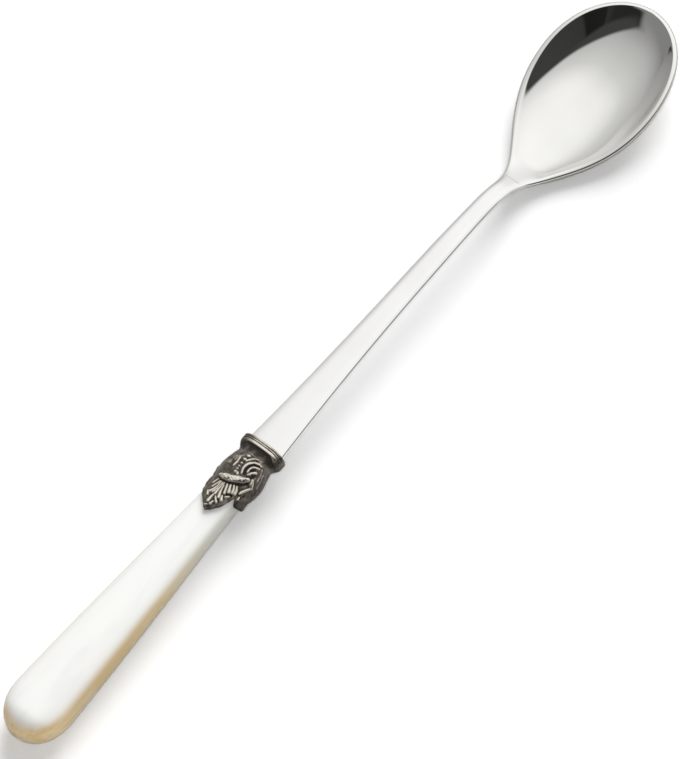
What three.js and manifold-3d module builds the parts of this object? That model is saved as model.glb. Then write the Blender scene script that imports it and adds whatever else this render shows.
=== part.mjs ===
// Long-handled sorbet spoon in millimetres: X from the handle butt to the bowl tip, Z up.
// It lies as on a table, on the belly of the bowl and on the butt of the handle.
import * as THREE from 'three';
import { mergeVertices } from 'three/addons/utils/BufferGeometryUtils.js';
import Module from 'manifold-3d';

const wasm = await Module();
wasm.setup();

// Clearances between pieces
const FIT_GAP = 0.3;
const REST_FLAT_DEPTH = 0.15;

// Handle: a tapered grip of rounded section with a bull-nosed butt
const HANDLE_LENGTH = 74.6;
const HANDLE_BUTT_WIDTH = 15.1;
const HANDLE_BUTT_THICKNESS = 9.3;
const HANDLE_END_WIDTH = 6.8;
const HANDLE_END_THICKNESS = 5.2;
const HANDLE_TAPER_POWER = 1.35;
const HANDLE_PLAN_ROUND = 9.5;
const HANDLE_SIDE_ROUND = 5;
const HANDLE_PITCH = THREE.MathUtils.degToRad(1.95);
const SECTION_POWER = 2.5;

// Tang in its cemented socket
const TANG_WIDTH = 2.4;
const TANG_THICKNESS = 1.2;
const TANG_LENGTH = 38;
const CEMENT_WALL = 0.5;
const SOCKET_TIP_GAP = 2;

// Ferrule: collar, throat, bulb and leaves
const FERRULE_FLOOR = 5.7;
const FERRULE_LEAF_WALL = 0.65;
const STEM_SEAT_DEPTH = 1.9;
const COLLAR_LENGTH = 2.7;
const COLLAR_WIDTH = 10.5;
const COLLAR_HEIGHT = 7.4;
const COLLAR_CHAMFER = 0.6;
const COLLAR_GROOVE_WIDTH = 0.3;
const COLLAR_GROOVE_DEPTH = 0.15;
const THROAT_LENGTH = 1.6;
const THROAT_WIDTH = 8.6;
const THROAT_HEIGHT = 5.9;
const BULB_LENGTH = 7.4;
const BULB_WIDTH = 10.1;
const BULB_HEIGHT = 7.9;
const PALMETTE_LENGTH = 7.5;
const PALMETTE_HALF_ANGLE = THREE.MathUtils.degToRad(64);
const SIDE_LEAF_LENGTH = 2.9;
const LEAF_NOTCH_LENGTH = 1.9;

// Relief on the ferrule
const BEAD_COUNT = 6;
const BEAD_RADIUS = 0.42;
const BEAD_PITCH = 0.86;
const FLUTE_COUNT = 9;
const FLUTE_WIDTH = 0.95;
const FLUTE_RELIEF = 0.32;
const ARCH_COUNT = 3;
const ARCH_PITCH = 0.78;
const ARCH_RADIUS = 0.24;
const ARCH_OFFSET = 2.75;
const SWAG_RADIUS = 0.5;
const SWAG_REACH = 3.3;
const SWAG_RISE = 1.7;

// Stem: a flat strip that narrows from the collar to the neck
const STEM_LENGTH = 77.4;
const STEM_COLLAR_WIDTH = 8.3;
const STEM_NECK_WIDTH = 4.4;
const STEM_TAPER_POWER = 2.6;
const STEM_THICKNESS = 2.1;
const STEM_CREST_RISE = 1;
const STEM_CREST_FROM_COLLAR = 54;
const EDGE_ROUND = 0.35;

// Bowl: the neck dips, then the rim climbs to the tip
const NECK_TO_WIDEST = 32.5;
const WIDEST_TO_TIP = 19.5;
const BOWL_WIDTH = 30;
const NECK_EASE = 10;
const SHOULDER_EASE = 17;
const NECK_TOP_HEIGHT = 7;
const THROAT_RIM_HEIGHT = 3.05;
const THROAT_RIM_FROM_NECK = 12;
const MID_RIM_HEIGHT = 7.1;
const TIP_RIM_HEIGHT = 9.1;
const RIM_THICKNESS = 1.4;
const FLOOR_THICKNESS = 1.2;
const FLOOR_LOW_FROM_WIDEST = 7;
const BOWL_SECTION_POWER = 2.7;

// Lengthwise stations
const X_COLLAR_FACE = HANDLE_LENGTH + FIT_GAP + FERRULE_FLOOR;
const X_SHOULDER = X_COLLAR_FACE - STEM_SEAT_DEPTH + FIT_GAP;
const X_NECK = X_COLLAR_FACE + STEM_LENGTH;
const X_WIDEST = X_NECK + NECK_TO_WIDEST;
const X_TIP = X_WIDEST + WIDEST_TO_TIP;

const lerp = THREE.MathUtils.lerp;
const clamp = THREE.MathUtils.clamp;

// Smooth curve through points, as a height for each station
function fair(points) {
  const slope = points.map((p, i) => {
    const a = points[Math.max(i - 1, 0)];
    const b = points[Math.min(i + 1, points.length - 1)];
    return (b[1] - a[1]) / (b[0] - a[0]);
  });
  return (x) => {
    let i = 0;
    while (i < points.length - 2 && x > points[i + 1][0]) i += 1;
    const [x0, y0] = points[i];
    const [x1, y1] = points[i + 1];
    const w = x1 - x0;
    const t = clamp((x - x0) / w, 0, 1);
    const a = (1 + 2 * t) * (1 - t) * (1 - t) * y0 + t * t * (3 - 2 * t) * y1;
    return a + t * (1 - t) * (1 - t) * w * slope[i] - t * t * (1 - t) * w * slope[i + 1];
  };
}

// Closed skin over rows of points, each row a loop; the first and last rows are capped
function loft(rows) {
  const count = rows[0].length;
  const position = [];
  rows.forEach((row) => row.forEach((p) => position.push(p.x, p.y, p.z)));
  const index = [];
  for (let r = 0; r + 1 < rows.length; r += 1) {
    for (let k = 0; k < count; k += 1) {
      const a = r * count + k;
      const b = r * count + ((k + 1) % count);
      index.push(a, b, b + count, a, b + count, a + count);
    }
  }
  [0, rows.length - 1].forEach((r) => {
    const centre = new THREE.Vector3();
    rows[r].forEach((p) => centre.addScaledVector(p, 1 / count));
    const c = position.length / 3;
    position.push(centre.x, centre.y, centre.z);
    for (let k = 0; k < count; k += 1) {
      const a = r * count + k;
      const b = r * count + ((k + 1) % count);
      if (r === 0) index.push(c, b, a);
      else index.push(c, a, b);
    }
  });
  const skin = new THREE.BufferGeometry();
  skin.setAttribute('position', new THREE.Float32BufferAttribute(position, 3));
  skin.setIndex(index);
  return skin;
}

// Welded copy of a geometry without its flat triangles, faces outward
function weld(geometry) {
  const bare = geometry.clone();
  bare.deleteAttribute('normal');
  bare.deleteAttribute('uv');
  const merged = mergeVertices(bare, 1e-4);
  const p = merged.attributes.position;
  const source = merged.index.array;
  const triangles = [];
  let volume = 0;
  const a = new THREE.Vector3();
  const b = new THREE.Vector3();
  const c = new THREE.Vector3();
  for (let i = 0; i < source.length; i += 3) {
    const [u, v, w] = [source[i], source[i + 1], source[i + 2]];
    if (u === v || v === w || w === u) continue;
    triangles.push(u, v, w);
    a.fromBufferAttribute(p, u);
    b.fromBufferAttribute(p, v);
    c.fromBufferAttribute(p, w);
    volume += a.dot(b.cross(c)) / 6;
  }
  if (volume < 0) {
    for (let i = 0; i < triangles.length; i += 3) {
      [triangles[i + 1], triangles[i + 2]] = [triangles[i + 2], triangles[i + 1]];
    }
  }
  merged.setIndex(triangles);
  return merged;
}

function solid(geometry) {
  const g = weld(geometry);
  const vertProperties = new Float32Array(g.attributes.position.array);
  const triVerts = new Uint32Array(g.index.array);
  return new wasm.Manifold(new wasm.Mesh({ numProp: 3, vertProperties, triVerts }));
}

function skinOf(body) {
  const m = body.getMesh();
  const g = new THREE.BufferGeometry();
  g.setAttribute('position', new THREE.Float32BufferAttribute(m.vertProperties, 3));
  g.setIndex(Array.from(m.triVerts));
  return g;
}

function block(x0, x1, width, height, matrix) {
  const g = new THREE.BoxGeometry(x1 - x0, width, height);
  g.translate((x0 + x1) / 2, 0, 0);
  if (matrix) g.applyMatrix4(matrix);
  return solid(g);
}

function piece(name, body, colour, roughness, metalness) {
  const g = skinOf(body);
  g.computeVertexNormals();
  const material = new THREE.MeshStandardMaterial({ color: colour, roughness, metalness });
  const mesh = new THREE.Mesh(g, material);
  mesh.name = name;
  return mesh;
}

// Rounded section of the grip and ferrule at one angle, 0 at the side and a quarter turn at the top
function around(x, halfWidth, halfHeight, angle) {
  const power = 2 / SECTION_POWER;
  const c = Math.cos(angle);
  const s = Math.sin(angle);
  const y = halfWidth * Math.sign(c) * Math.abs(c) ** power;
  const z = halfHeight * Math.sign(s) * Math.abs(s) ** power;
  return new THREE.Vector3(x, y, z);
}

function ring(x, halfWidth, halfHeight, sides) {
  const points = [];
  for (let k = 0; k < sides; k += 1) {
    points.push(around(x, halfWidth, halfHeight, (k / sides) * Math.PI * 2));
  }
  return points;
}

// Handle half sizes along its own axis, before the butt is rounded
function gripHalf(x) {
  const t = clamp(x / HANDLE_LENGTH, 0, 1) ** HANDLE_TAPER_POWER;
  return {
    width: lerp(HANDLE_BUTT_WIDTH, HANDLE_END_WIDTH, t) / 2,
    height: lerp(HANDLE_BUTT_THICKNESS, HANDLE_END_THICKNESS, t) / 2,
  };
}

function rounding(x, reach) {
  const t = clamp(1 - x / reach, 0, 1);
  return Math.sqrt(Math.max(0, 1 - t * t));
}

function gripSection(x) {
  const half = gripHalf(x);
  half.width *= rounding(x, HANDLE_PLAN_ROUND);
  half.height *= rounding(x, HANDLE_SIDE_ROUND);
  return half;
}

// Height of the grip axis at the butt, so that the butt sinks by the depth of its resting flat
let lowest = Infinity;
for (let x = 0; x <= HANDLE_LENGTH; x += 0.25) {
  const under = x * Math.sin(HANDLE_PITCH) - gripSection(x).height * Math.cos(HANDLE_PITCH);
  lowest = Math.min(lowest, under);
}
const AXIS_HEIGHT = -lowest - REST_FLAT_DEPTH;
const axisHeight = (x) => AXIS_HEIGHT + x * Math.tan(HANDLE_PITCH);

const grip = new THREE.Group();
grip.position.set(0, 0, AXIS_HEIGHT);
grip.rotation.y = -HANDLE_PITCH;
grip.updateMatrix();

// Handle
const HANDLE_SIDES = 40;
const handleRows = [];
for (let i = 0; i <= 9; i += 1) {
  const x = HANDLE_PLAN_ROUND * (1 - Math.cos((i / 9) * Math.PI * 0.5));
  const half = gripSection(x);
  handleRows.push(ring(x, half.width, half.height, HANDLE_SIDES));
}
for (let i = 1; i <= 8; i += 1) {
  const x = lerp(HANDLE_PLAN_ROUND, HANDLE_LENGTH, i / 8);
  const half = gripSection(x);
  handleRows.push(ring(x, half.width, half.height, HANDLE_SIDES));
}
const cementInner = { width: TANG_WIDTH + 2 * FIT_GAP, height: TANG_THICKNESS + 2 * FIT_GAP };
const cementOuter = {
  width: cementInner.width + 2 * CEMENT_WALL,
  height: cementInner.height + 2 * CEMENT_WALL,
};
const socket = { width: cementOuter.width + 2 * FIT_GAP, height: cementOuter.height + 2 * FIT_GAP };
const X_TANG_TIP = X_SHOULDER - TANG_LENGTH;
const X_CEMENT_TIP = X_TANG_TIP - SOCKET_TIP_GAP;
const tableBlock = new THREE.BoxGeometry(4 * HANDLE_LENGTH, 4 * HANDLE_BUTT_WIDTH, HANDLE_BUTT_THICKNESS);
tableBlock.translate(0, 0, -HANDLE_BUTT_THICKNESS / 2);
tableBlock.applyMatrix4(grip.matrix.clone().invert());
const handle = solid(loft(handleRows))
  .subtract(block(X_CEMENT_TIP - FIT_GAP, HANDLE_LENGTH + 1, socket.width, socket.height))
  .subtract(solid(tableBlock));
grip.add(piece('handle', handle, 0xe8e4d6, 0.24, 0));

// Cement sleeve round the tang, open towards the ferrule
const cement = block(X_CEMENT_TIP, HANDLE_LENGTH, cementOuter.width, cementOuter.height)
  .subtract(block(X_TANG_TIP - FIT_GAP, HANDLE_LENGTH + 1, cementInner.width, cementInner.height));
grip.add(piece('tang_cement', cement, 0xc9bfa2, 0.7, 0));

// Ferrule: outline of the base along the axis
const X_FACE = X_COLLAR_FACE;
const X_COLLAR = X_FACE - COLLAR_LENGTH;
const X_THROAT = X_COLLAR - THROAT_LENGTH;
const X_LEAF = X_THROAT - BULB_LENGTH;
const leafHalf = (x) => {
  const half = gripHalf(x);
  half.width += FIT_GAP + FERRULE_LEAF_WALL;
  half.height += FIT_GAP + FERRULE_LEAF_WALL;
  return half;
};
const leafRoot = leafHalf(X_LEAF);
const bulbWidth = fair([
  [X_LEAF, leafRoot.width],
  [lerp(X_LEAF, X_THROAT, 0.35), BULB_WIDTH / 2],
  [lerp(X_LEAF, X_THROAT, 0.72), lerp(BULB_WIDTH, THROAT_WIDTH, 0.4) / 2],
  [X_THROAT, THROAT_WIDTH / 2],
]);
const bulbHeight = fair([
  [X_LEAF, leafRoot.height],
  [lerp(X_LEAF, X_THROAT, 0.45), BULB_HEIGHT / 2],
  [lerp(X_LEAF, X_THROAT, 0.78), lerp(BULB_HEIGHT, THROAT_HEIGHT, 0.3) / 2],
  [X_THROAT, THROAT_HEIGHT / 2],
]);
function ferruleHalf(x) {
  if (x < X_LEAF) return leafHalf(x);
  if (x < X_THROAT) return { width: bulbWidth(x), height: bulbHeight(x) };
  return { width: THROAT_WIDTH / 2, height: THROAT_HEIGHT / 2 };
}

// Far edge of the leaves: a pointed palmette over each face, a short leaf on each side
function leafEdge(angle) {
  const quarter = Math.PI / 2;
  const fromFace = Math.abs(((((angle - quarter) % Math.PI) + Math.PI + quarter) % Math.PI) - quarter);
  if (fromFace < PALMETTE_HALF_ANGLE) {
    const t = 1 - fromFace / PALMETTE_HALF_ANGLE;
    return X_LEAF - lerp(LEAF_NOTCH_LENGTH, PALMETTE_LENGTH, t ** 0.85);
  }
  const t = (fromFace - PALMETTE_HALF_ANGLE) / (quarter - PALMETTE_HALF_ANGLE);
  return X_LEAF - lerp(LEAF_NOTCH_LENGTH, SIDE_LEAF_LENGTH, Math.sin(t * quarter));
}

const FERRULE_SIDES = 40;
const ferruleRows = [];
const collarStep = (x, inset) => {
  ferruleRows.push(ring(x, COLLAR_WIDTH / 2 - inset, COLLAR_HEIGHT / 2 - inset, FERRULE_SIDES));
};
collarStep(X_FACE, COLLAR_CHAMFER);
collarStep(X_FACE - COLLAR_CHAMFER, 0);
[1 / 3, 2 / 3].forEach((share) => {
  const x = lerp(X_FACE - COLLAR_CHAMFER, X_COLLAR + COLLAR_CHAMFER, share);
  collarStep(x + COLLAR_GROOVE_WIDTH / 2, 0);
  collarStep(x, COLLAR_GROOVE_DEPTH);
  collarStep(x - COLLAR_GROOVE_WIDTH / 2, 0);
});
collarStep(X_COLLAR + COLLAR_CHAMFER, 0);
collarStep(X_COLLAR, COLLAR_CHAMFER);
[0.85, 0.4, 0].forEach((share) => {
  const x = lerp(X_THROAT, X_COLLAR, share);
  ferruleRows.push(ring(x, THROAT_WIDTH / 2, THROAT_HEIGHT / 2, FERRULE_SIDES));
});
[0.78, 0.55, 0.35, 0.15].forEach((share) => {
  const x = lerp(X_LEAF, X_THROAT, share);
  const half = ferruleHalf(x);
  ferruleRows.push(ring(x, half.width, half.height, FERRULE_SIDES));
});
function leafRow(share, extra) {
  const row = [];
  for (let k = 0; k < FERRULE_SIDES; k += 1) {
    const angle = (k / FERRULE_SIDES) * Math.PI * 2;
    const x = lerp(X_LEAF, leafEdge(angle), share);
    const half = gripHalf(x);
    row.push(around(x, half.width + FIT_GAP + extra, half.height + FIT_GAP + extra, angle));
  }
  return row;
}
[0, 0.5, 0.93].forEach((share) => ferruleRows.push(leafRow(share, FERRULE_LEAF_WALL)));
ferruleRows.push(leafRow(1, FERRULE_LEAF_WALL * 0.6));
ferruleRows.push(leafRow(1, -FIT_GAP));
const X_BORE_END = HANDLE_LENGTH + FIT_GAP;
let ferrule = solid(loft(ferruleRows));

// A place on the ferrule skin: along the axis and sideways from the middle of a face
function onSkin(x, sideways, face) {
  const half = ferruleHalf(x);
  const mean = (half.width + half.height) / 2;
  const angle = face * (Math.PI / 2) - sideways / mean;
  return around(x, half.width, half.height, angle);
}

// Bar of round section that follows the skin
function bar(path, radius, face, steps) {
  const points = path.map(([x, s]) => onSkin(x, s, face));
  const curve = new THREE.CatmullRomCurve3(points);
  const section = new THREE.Shape();
  section.absarc(0, 0, radius, 0, Math.PI * 2);
  return solid(new THREE.ExtrudeGeometry(section, { steps, extrudePath: curve, curveSegments: 2 }));
}

// Long drop of metal lying on the skin between two places
function drop(from, to, width, relief, face) {
  const a = onSkin(from[0], from[1], face);
  const b = onSkin(to[0], to[1], face);
  const mid = onSkin((from[0] + to[0]) / 2, (from[1] + to[1]) / 2, face);
  const along = b.clone().sub(a);
  const length = along.length();
  along.normalize();
  const out = new THREE.Vector3(0, mid.y / BULB_WIDTH ** 2, mid.z / BULB_HEIGHT ** 2);
  const across = new THREE.Vector3().crossVectors(out, along).normalize();
  out.crossVectors(along, across).normalize();
  const g = new THREE.SphereGeometry(1, 6, 6);
  g.scale(width / 2, length / 2, relief);
  g.applyMatrix4(new THREE.Matrix4().makeBasis(across, along, out).setPosition(mid));
  return solid(g);
}

const X_SWAG = X_LEAF + SWAG_RADIUS;
const X_FIRST_BEAD = X_SWAG + SWAG_RADIUS + 3 * BEAD_RADIUS;
[1, -1].forEach((face) => {
  for (let i = 0; i < BEAD_COUNT; i += 1) {
    const bead = new THREE.SphereGeometry(BEAD_RADIUS, 6, 4);
    const at = onSkin(X_FIRST_BEAD + i * BEAD_PITCH, 0, face);
    bead.translate(at.x, at.y, at.z);
    ferrule = ferrule.add(solid(bead));
  }
  const swag = [-1, -0.6, -0.2, 0.2, 0.6, 1].map((t) => [X_SWAG + SWAG_RISE * t * t, SWAG_REACH * t]);
  ferrule = ferrule.add(bar(swag, SWAG_RADIUS, face, 8));
  [1, -1].forEach((side) => {
    for (let i = 0; i < ARCH_COUNT; i += 1) {
      const radius = ARCH_PITCH * (i + 0.6);
      const arch = [];
      for (let k = 0; k <= 6; k += 1) {
        const turn = Math.PI * (-0.1 + k * 0.2);
        const x = X_FIRST_BEAD + 1.4 * ARCH_OFFSET * 0.5 + radius * Math.sin(turn);
        arch.push([x, side * (ARCH_OFFSET - radius * Math.cos(turn) * 0.9)]);
      }
      ferrule = ferrule.add(bar(arch, ARCH_RADIUS, face, 6));
    }
  });
  for (let i = 0; i < FLUTE_COUNT; i += 1) {
    const spread = (i / (FLUTE_COUNT - 1)) * 2 - 1;
    const root = [X_LEAF - FLUTE_WIDTH * 0.4, spread * FLUTE_WIDTH * 0.9];
    const reach = lerp(PALMETTE_LENGTH * 0.9, LEAF_NOTCH_LENGTH * 0.95, Math.abs(spread) ** 0.8);
    const tip = [X_LEAF - reach, spread * (SWAG_REACH + FLUTE_WIDTH * 0.3)];
    if (i * 2 === FLUTE_COUNT - 1) tip[1] = 0;
    ferrule = ferrule.add(drop(root, tip, FLUTE_WIDTH, FLUTE_RELIEF, face));
  }
});
[0, Math.PI].forEach((angle) => {
  const g = new THREE.SphereGeometry(1, 6, 6);
  const x0 = X_LEAF - SIDE_LEAF_LENGTH * 0.8;
  const x1 = X_LEAF + SIDE_LEAF_LENGTH * 0.6;
  g.scale((x1 - x0) / 2, FLUTE_RELIEF, FLUTE_WIDTH * 0.7);
  const half = ferruleHalf((x0 + x1) / 2);
  const at = around((x0 + x1) / 2, half.width, half.height, angle);
  g.translate(at.x, at.y, at.z);
  ferrule = ferrule.add(solid(g));
});

// Bore for the grip, passage for the tang and seat for the stem
const boreRows = [];
for (let i = 0; i <= 3; i += 1) {
  const x = lerp(X_LEAF - PALMETTE_LENGTH - 1, X_BORE_END, i / 3);
  const half = gripHalf(x);
  boreRows.push(ring(x, half.width + FIT_GAP, half.height + FIT_GAP, HANDLE_SIDES));
}
const seat = { width: STEM_COLLAR_WIDTH + 2 * FIT_GAP, height: STEM_THICKNESS + 2 * FIT_GAP };
ferrule = ferrule
  .subtract(solid(loft(boreRows)))
  .subtract(block(HANDLE_LENGTH, X_FACE, cementInner.width, cementInner.height))
  .subtract(block(X_FACE - STEM_SEAT_DEPTH, X_FACE + 1, seat.width, seat.height));
grip.add(piece('ferrule', ferrule, 0x8d8878, 0.42, 0.9));

// Blank: plan outline, rim height and floor height along the spoon
const stemTop = axisHeight(X_COLLAR_FACE) + STEM_THICKNESS / 2;
const stemSlope = Math.tan(HANDLE_PITCH);
const crest = stemTop + STEM_CREST_RISE;
const rimHeight = fair([
  [X_SHOULDER - 10, stemTop - stemSlope * (X_COLLAR_FACE - X_SHOULDER + 10)],
  [X_COLLAR_FACE, stemTop],
  [X_COLLAR_FACE + STEM_CREST_FROM_COLLAR / 2, lerp(stemTop, crest, 0.7)],
  [X_COLLAR_FACE + STEM_CREST_FROM_COLLAR, crest],
  [lerp(X_COLLAR_FACE + STEM_CREST_FROM_COLLAR, X_NECK, 0.65), lerp(crest, NECK_TOP_HEIGHT, 0.2)],
  [X_NECK, NECK_TOP_HEIGHT],
  [X_NECK + THROAT_RIM_FROM_NECK * 0.5, lerp(NECK_TOP_HEIGHT, THROAT_RIM_HEIGHT, 0.8)],
  [X_NECK + THROAT_RIM_FROM_NECK, THROAT_RIM_HEIGHT],
  [lerp(X_NECK + THROAT_RIM_FROM_NECK, X_WIDEST, 0.5), lerp(THROAT_RIM_HEIGHT, MID_RIM_HEIGHT, 0.43)],
  [X_WIDEST, MID_RIM_HEIGHT],
  [X_WIDEST + WIDEST_TO_TIP * 0.5, lerp(MID_RIM_HEIGHT, TIP_RIM_HEIGHT, 0.8)],
  [X_TIP, TIP_RIM_HEIGHT],
]);
const FLOOR_LOW = FLOOR_THICKNESS - REST_FLAT_DEPTH;
const X_FLOOR_LOW = X_WIDEST - FLOOR_LOW_FROM_WIDEST;
const X_FLOOR_START = X_NECK + THROAT_RIM_FROM_NECK * 0.35;
const floorHeight = fair([
  [X_FLOOR_START - 2, rimHeight(X_FLOOR_START - 2)],
  [X_FLOOR_START, rimHeight(X_FLOOR_START)],
  [X_NECK + THROAT_RIM_FROM_NECK, lerp(FLOOR_LOW, THROAT_RIM_HEIGHT, 0.42)],
  [lerp(X_NECK + THROAT_RIM_FROM_NECK, X_FLOOR_LOW, 0.55), lerp(FLOOR_LOW, THROAT_RIM_HEIGHT, 0.08)],
  [X_FLOOR_LOW, FLOOR_LOW],
  [X_WIDEST, lerp(FLOOR_LOW, MID_RIM_HEIGHT, 0.05)],
  [X_WIDEST + WIDEST_TO_TIP * 0.4, lerp(FLOOR_LOW, TIP_RIM_HEIGHT, 0.24)],
  [X_WIDEST + WIDEST_TO_TIP * 0.72, lerp(FLOOR_LOW, TIP_RIM_HEIGHT, 0.57)],
  [X_TIP, TIP_RIM_HEIGHT],
]);
const edgeThickness = fair([
  [X_NECK, STEM_THICKNESS],
  [X_NECK + THROAT_RIM_FROM_NECK, lerp(STEM_THICKNESS, RIM_THICKNESS, 0.5)],
  [X_WIDEST, RIM_THICKNESS],
  [X_TIP, RIM_THICKNESS],
]);
const middleThickness = fair([
  [X_NECK, STEM_THICKNESS],
  [X_NECK + THROAT_RIM_FROM_NECK, lerp(STEM_THICKNESS, FLOOR_THICKNESS, 0.75)],
  [X_FLOOR_LOW, FLOOR_THICKNESS],
  [X_TIP, FLOOR_THICKNESS],
]);

// Stations of the outline: [along, half width], from the stem to the tip
const outline = [];
for (let i = 0; i <= 12; i += 1) {
  const x = lerp(X_SHOULDER, X_NECK, i / 12);
  const t = clamp((X_NECK - x) / STEM_LENGTH, 0, 1) ** STEM_TAPER_POWER;
  outline.push(new THREE.Vector2(x, lerp(STEM_NECK_WIDTH, STEM_COLLAR_WIDTH, t) / 2));
}
const flare = new THREE.CubicBezierCurve(
  new THREE.Vector2(X_NECK, STEM_NECK_WIDTH / 2),
  new THREE.Vector2(X_NECK + NECK_EASE, STEM_NECK_WIDTH / 2),
  new THREE.Vector2(X_WIDEST - SHOULDER_EASE, BOWL_WIDTH / 2),
  new THREE.Vector2(X_WIDEST, BOWL_WIDTH / 2),
);
for (let i = 1; i <= 16; i += 1) outline.push(flare.getPoint(i / 16));
for (let i = 1; i <= 12; i += 1) {
  const turn = (i / 12) * Math.PI * 0.5;
  outline.push(new THREE.Vector2(
    X_WIDEST + WIDEST_TO_TIP * Math.sin(turn),
    i === 12 ? 0 : (BOWL_WIDTH / 2) * Math.cos(turn),
  ));
}

// One loop of the blank: top face, rounded edge, underside, rounded edge
const ACROSS = 12;
function blankLoop(place, inward, top, floor, edge, middle) {
  const loop = [];
  const inset = place.clone().addScaledVector(inward, EDGE_ROUND);
  for (let k = 0; k <= ACROSS; k += 1) {
    const share = Math.sin(((k / ACROSS) * 2 - 1) * Math.PI * 0.5);
    const dip = (top - floor) * (1 - Math.abs(share) ** BOWL_SECTION_POWER);
    loop.push(new THREE.Vector3(inset.x, inset.y * share, top - dip));
  }
  loop.push(new THREE.Vector3(place.x, place.y, top - EDGE_ROUND));
  loop.push(new THREE.Vector3(place.x, place.y, top - edge + EDGE_ROUND));
  for (let k = ACROSS; k >= 0; k -= 1) {
    const share = Math.sin(((k / ACROSS) * 2 - 1) * Math.PI * 0.5);
    const dip = (top - edge - floor + middle) * (1 - Math.abs(share) ** BOWL_SECTION_POWER);
    loop.push(new THREE.Vector3(inset.x, inset.y * share, top - edge - dip));
  }
  loop.push(new THREE.Vector3(place.x, -place.y, top - edge + EDGE_ROUND));
  loop.push(new THREE.Vector3(place.x, -place.y, top - EDGE_ROUND));
  return loop;
}

const sideways = new THREE.Vector2(0, -1);
const blankRows = [X_TANG_TIP, X_SHOULDER].map((x) => {
  const top = axisHeight(x) + TANG_THICKNESS / 2;
  const place = new THREE.Vector2(x, TANG_WIDTH / 2);
  return blankLoop(place, sideways, top, top, TANG_THICKNESS, TANG_THICKNESS);
});
outline.forEach((place, i) => {
  const next = outline[Math.min(i + 1, outline.length - 1)];
  const last = outline[Math.max(i - 1, 0)];
  const run = next.clone().sub(last).normalize();
  const inward = i === outline.length - 1 ? new THREE.Vector2(-1, 0) : new THREE.Vector2(run.y, -run.x);
  const top = rimHeight(place.x);
  const floor = place.x < X_FLOOR_START ? top : floorHeight(place.x);
  blankRows.push(blankLoop(place, inward, top, floor, edgeThickness(place.x), middleThickness(place.x)));
});
const table = new THREE.BoxGeometry(4 * X_TIP, 4 * BOWL_WIDTH, BOWL_WIDTH);
table.translate(0, 0, -BOWL_WIDTH / 2);
const blank = solid(loft(blankRows)).subtract(solid(table));

const spoon = new THREE.Group();
spoon.position.x = -X_TIP / 2;
spoon.add(piece('spoon_blank', blank, 0xdcdcd8, 0.1, 1));
spoon.add(grip);

const sorbetSpoon = new THREE.Group();
sorbetSpoon.add(spoon);

export default sorbetSpoon;
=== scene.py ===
# Sorbet spoon on a white table: mirror-polished blank, antiqued ferrule, pearl handle
import math
import bpy
import numpy as np
from mathutils import Matrix, Vector


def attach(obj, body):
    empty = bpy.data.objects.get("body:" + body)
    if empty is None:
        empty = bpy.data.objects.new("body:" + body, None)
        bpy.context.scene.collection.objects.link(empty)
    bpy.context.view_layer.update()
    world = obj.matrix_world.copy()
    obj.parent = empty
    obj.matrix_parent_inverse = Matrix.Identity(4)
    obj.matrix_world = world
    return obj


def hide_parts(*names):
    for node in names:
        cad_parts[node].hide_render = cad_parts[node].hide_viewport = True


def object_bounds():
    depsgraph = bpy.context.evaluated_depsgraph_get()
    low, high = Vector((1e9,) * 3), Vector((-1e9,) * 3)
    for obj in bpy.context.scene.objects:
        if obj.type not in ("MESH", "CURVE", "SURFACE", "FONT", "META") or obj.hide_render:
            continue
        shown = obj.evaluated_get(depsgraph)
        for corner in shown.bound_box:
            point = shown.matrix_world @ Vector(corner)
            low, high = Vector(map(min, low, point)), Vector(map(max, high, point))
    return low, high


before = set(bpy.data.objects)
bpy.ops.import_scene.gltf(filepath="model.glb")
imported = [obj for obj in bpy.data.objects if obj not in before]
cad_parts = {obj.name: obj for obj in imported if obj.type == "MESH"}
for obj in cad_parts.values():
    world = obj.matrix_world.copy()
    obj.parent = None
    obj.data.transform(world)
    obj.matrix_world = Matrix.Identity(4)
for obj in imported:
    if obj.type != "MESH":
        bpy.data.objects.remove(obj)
cadLow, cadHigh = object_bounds()
mm = 0.001
buttX = cadLow.x  # lengths below run in millimetres from the butt
fineSteps = 4000  # samples of a curve where its length is measured
tiny = 1e-9  # keeps a division from failing
print("frame loaded:", sorted(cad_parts))


# small maths shared by the pieces
def mix(a, b, share):
    return a + (b - a) * share


def ease(low, high, value):
    t = np.clip((value - low) / (high - low), 0, 1)
    return t * t * (3 - 2 * t)


def fairCurve(points):
    # natural cubic spline, so that reflections run over it without a kink
    x, y = (np.array(column, float) for column in zip(*points))
    gap = np.diff(x)
    count = len(x)
    system = np.eye(count)
    right = np.zeros(count)
    for i in range(1, count - 1):
        system[i, i - 1:i + 2] = gap[i - 1], 2 * (gap[i - 1] + gap[i]), gap[i]
        right[i] = 6 * ((y[i + 1] - y[i]) / gap[i] - (y[i] - y[i - 1]) / gap[i - 1])
    bend = np.linalg.solve(system, right)

    def curve(value):
        q = np.clip(np.asarray(value, float), x[0], x[-1])
        i = np.clip(np.searchsorted(x, q) - 1, 0, count - 2)
        near, far = q - x[i], x[i + 1] - q
        part = (bend[i] * far ** 3 + bend[i + 1] * near ** 3) / (6 * gap[i])
        part = part + (y[i] / gap[i] - bend[i] * gap[i] / 6) * far
        return part + (y[i + 1] / gap[i] - bend[i + 1] * gap[i] / 6) * near

    return curve


def addObject(name, data):
    thing = bpy.data.objects.new(name, data)
    bpy.context.scene.collection.objects.link(thing)
    return thing


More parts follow.
